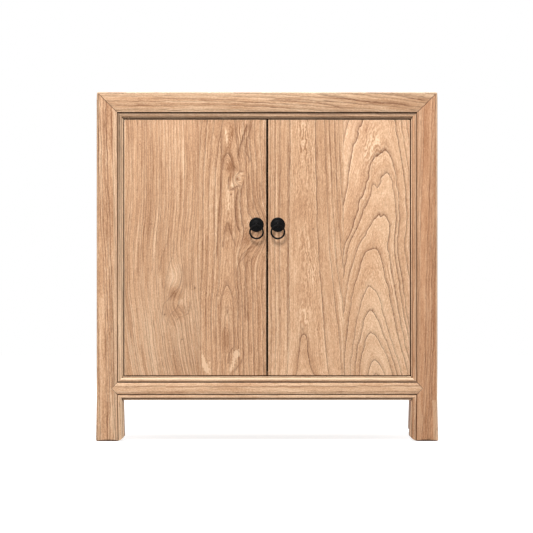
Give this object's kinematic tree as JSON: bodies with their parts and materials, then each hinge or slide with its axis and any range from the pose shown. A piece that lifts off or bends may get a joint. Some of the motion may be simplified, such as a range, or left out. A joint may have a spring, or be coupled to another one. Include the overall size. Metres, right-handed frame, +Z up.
{
  "type": "kang cabinet",
  "caption": "Low two-door cabinet of pale elm with moulded mitred posts and rails, plank doors on pivots and black iron ring pulls.",
  "frame": {"origin": "on the floor under the middle of the cabinet", "axes": "+Z up, front face towards -Y, +X to the right seen from the front"},
  "size_m": [0.8534, 0.4107, 0.868],
  "materials": {
    "elm_frame": "waxed elm, open grain",
    "elm_door": "waxed elm, open grain",
    "elm_panel": "waxed elm, open grain",
    "elm_inner": "planed elm, unwaxed",
    "hardwood_pivot": "turned hardwood",
    "black_iron": "blackened forged iron"
  },
  "bodies": {
    "carcass": {"post_front_left": "elm_frame", "post_front_right": "elm_frame", "post_rear_left": "elm_frame", "post_rear_right": "elm_frame", "top_rail_front": "elm_frame", "top_rail_rear": "elm_frame", "top_rail_left": "elm_frame", "top_rail_right": "elm_frame", "bottom_rail_front": "elm_frame", "bottom_rail_rear": "elm_frame", "bottom_rail_left": "elm_frame", "bottom_rail_right": "elm_frame", "side_panel_left": "elm_panel", "side_panel_right": "elm_panel", "back_panel_battens": "elm_inner", "floor_battens": "elm_inner", "top_panel_battens": "elm_inner", "shelf_bearer_left": "elm_inner", "shelf_bearer_right": "elm_inner", "door_stop_upper": "elm_inner", "door_stop_lower": "elm_inner", "pivot_washers": "black_iron", "top_board_front": "elm_panel", "top_board_rear": "elm_panel", "shelf_board_front": "elm_panel", "shelf_board_rear": "elm_panel", "floor_board_front": "elm_panel", "floor_board_rear": "elm_panel", "back_board_1": "elm_panel", "back_board_2": "elm_panel", "back_board_3": "elm_panel", "back_board_4": "elm_panel", "back_board_5": "elm_panel"},
    "door_left": {"door_left_hinge_board": "elm_door", "door_left_meeting_board": "elm_door", "door_left_battens": "elm_inner", "door_left_pivot_dowels": "hardwood_pivot", "rosette_left": "black_iron", "split_pin_left": "black_iron", "pull_back_washer_left": "black_iron"},
    "ring_left": {"pull_ring_left": "black_iron"},
    "door_right": {"door_right_hinge_board": "elm_door", "door_right_meeting_board": "elm_door", "door_right_battens": "elm_inner", "door_right_pivot_dowels": "hardwood_pivot", "rosette_right": "black_iron", "split_pin_right": "black_iron", "pull_back_washer_right": "black_iron"},
    "ring_right": {"pull_ring_right": "black_iron"}
  },
  "joints": [
    {"name": "door_left_swing", "type": "hinge", "parent": "carcass", "child": "door_left", "pos_m": [-0.3458, -0.1836, 0.4816], "axis": [0, 0, -1], "range_deg": [0, 105]},
    {"name": "ring_left_swing", "type": "hinge", "parent": "door_left", "child": "ring_left", "pos_m": [-0.0265, -0.2022, 0.5365], "axis": [-1, 0, 0], "range_deg": [-12, 180]},
    {"name": "door_right_swing", "type": "hinge", "parent": "carcass", "child": "door_right", "pos_m": [0.3458, -0.1836, 0.4816], "axis": [0, 0, 1], "range_deg": [0, 105]},
    {"name": "ring_right_swing", "type": "hinge", "parent": "door_right", "child": "ring_right", "pos_m": [0.0265, -0.2022, 0.5365], "axis": [-1, 0, 0], "range_deg": [-12, 180]}
  ]
}
